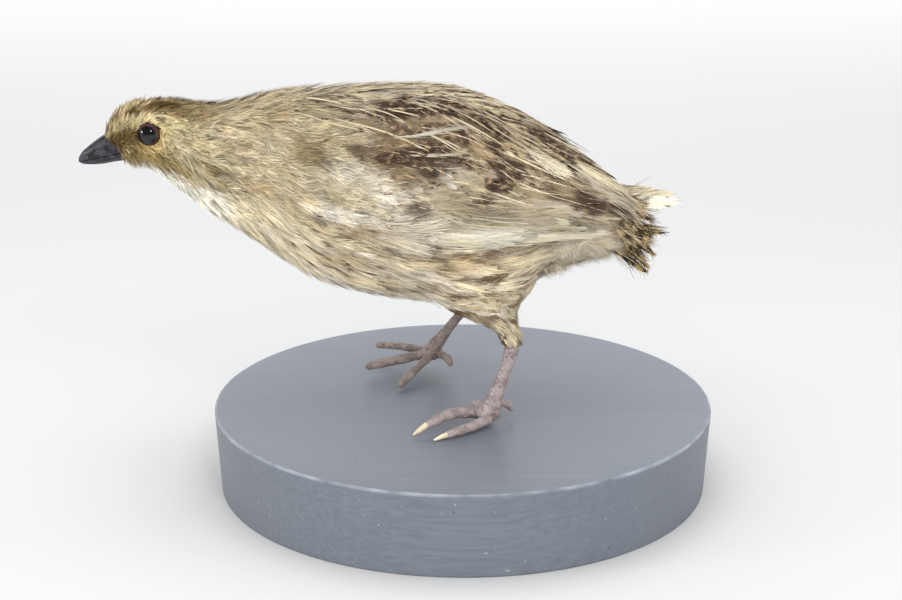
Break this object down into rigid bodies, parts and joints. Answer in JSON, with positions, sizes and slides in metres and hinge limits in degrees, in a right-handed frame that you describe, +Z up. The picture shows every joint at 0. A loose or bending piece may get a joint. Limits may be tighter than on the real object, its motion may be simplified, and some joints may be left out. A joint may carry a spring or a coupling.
{
  "type": "mounted coturnix quail on a round wooden base",
  "caption": "Life-size mounted quail, a still museum bird with folded wings, standing on a round painted wooden base.",
  "frame": {"origin": "centre of the flat underside of the round base", "axes": "+Z up; the bird's head points to -X and its tail to +X; its left side, which the picture shows, faces -Y"},
  "size_m": [0.1851, 0.1476, 0.1193],
  "materials": {
    "painted_wood": "blue-grey satin paint on a turned wooden disc, faint brush lines, light wear at the rim",
    "head_feathers": "short olive-brown hair-like feathers, darker spots on the crown, pale stripe over the eye",
    "body_feathers": "soft cream and buff body feathers with brown spots and pale shafts, matt",
    "wing_feathers": "brown feathers barred with buff, pale cream flight feathers along the lower edge",
    "tail_feathers": "short dark brown tail feathers with buff bars, worn tips",
    "bill": "blackish slate horn, satin, with small scratches",
    "eye": "polished glass eye with a maroon-brown iris and a black pupil",
    "leg_skin": "dried scaly skin, mottled pink-grey on the left leg and grey-brown on the right",
    "claw": "pale yellowish horn"
  },
  "bodies": {
    "root": {"stand_base": "painted_wood", "torso": "body_feathers", "neck": "body_feathers", "head": "head_feathers", "tail": "tail_feathers", "bill_upper": "bill", "bill_lower": "bill", "eye_left": "eye", "eye_right": "eye", "wing_left": "wing_feathers", "wing_right": "wing_feathers", "thigh_left": "body_feathers", "thigh_right": "body_feathers", "tarsus_left": "leg_skin", "tarsus_right": "leg_skin", "foot_left": "leg_skin", "foot_right": "leg_skin", "toe_left_middle": "leg_skin", "toe_left_outer": "leg_skin", "toe_left_inner": "leg_skin", "toe_left_hallux": "leg_skin", "toe_right_middle": "leg_skin", "toe_right_outer": "leg_skin", "toe_right_inner": "leg_skin", "toe_right_hallux": "leg_skin", "claw_left_middle": "claw", "claw_left_outer": "claw"}
  },
  "joints": []
}
